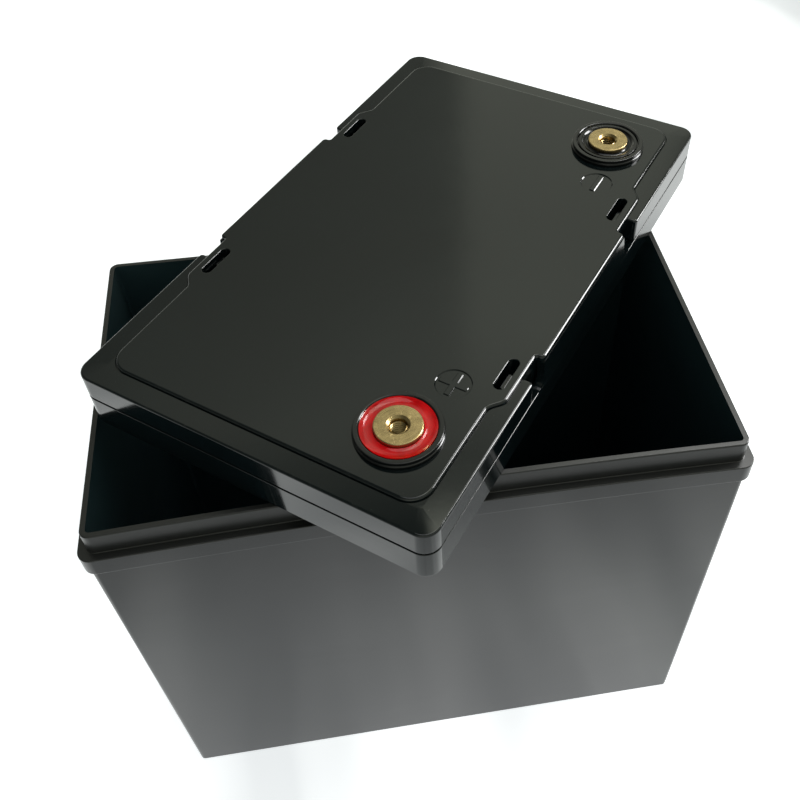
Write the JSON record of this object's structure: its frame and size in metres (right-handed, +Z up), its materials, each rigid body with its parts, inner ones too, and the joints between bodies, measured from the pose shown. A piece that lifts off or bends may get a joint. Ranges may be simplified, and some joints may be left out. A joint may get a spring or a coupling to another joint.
{
  "type": "battery case",
  "caption": "Tapered open box with a stepped rim and a loose lid that lies turned on it, with a brass threaded terminal at each end of one long side of the lid.",
  "frame": {"origin": "centre of the box's underside", "axes": "+X along the box's long side, +Y from its front wall to its back wall, +Z up"},
  "size_m": [0.2501, 0.2606, 0.2203],
  "materials": {
    "black_abs_box": "moulded black ABS, gloss",
    "black_abs_lid": "moulded black ABS, gloss",
    "black_abs_seat": "moulded black ABS, gloss",
    "terminal_brass": "turned, fine radial marks",
    "hardware_brass": "turned",
    "red_resin": "cast resin, high gloss",
    "black_resin": "cast resin, high gloss",
    "o_ring_rubber": "matte"
  },
  "bodies": {
    "case": {"case_box": "black_abs_box"},
    "lid": {"lid_cover": "black_abs_lid", "lid_skirt": "black_abs_lid", "positive_terminal_post": "terminal_brass", "negative_terminal_post": "terminal_brass", "positive_terminal_seat": "black_abs_seat", "negative_terminal_seat": "black_abs_seat", "positive_terminal_seal": "red_resin", "negative_terminal_seal": "black_resin", "positive_terminal_o_ring": "o_ring_rubber", "negative_terminal_o_ring": "o_ring_rubber", "positive_terminal_washer": "hardware_brass", "negative_terminal_washer": "hardware_brass", "positive_terminal_nut": "hardware_brass", "negative_terminal_nut": "hardware_brass"}
  },
  "joints": [
    {"name": "lid_lift", "type": "slide", "parent": "case", "child": "lid", "axis": [0, 0, 1], "range_m": [0, 0.15]}
  ]
}
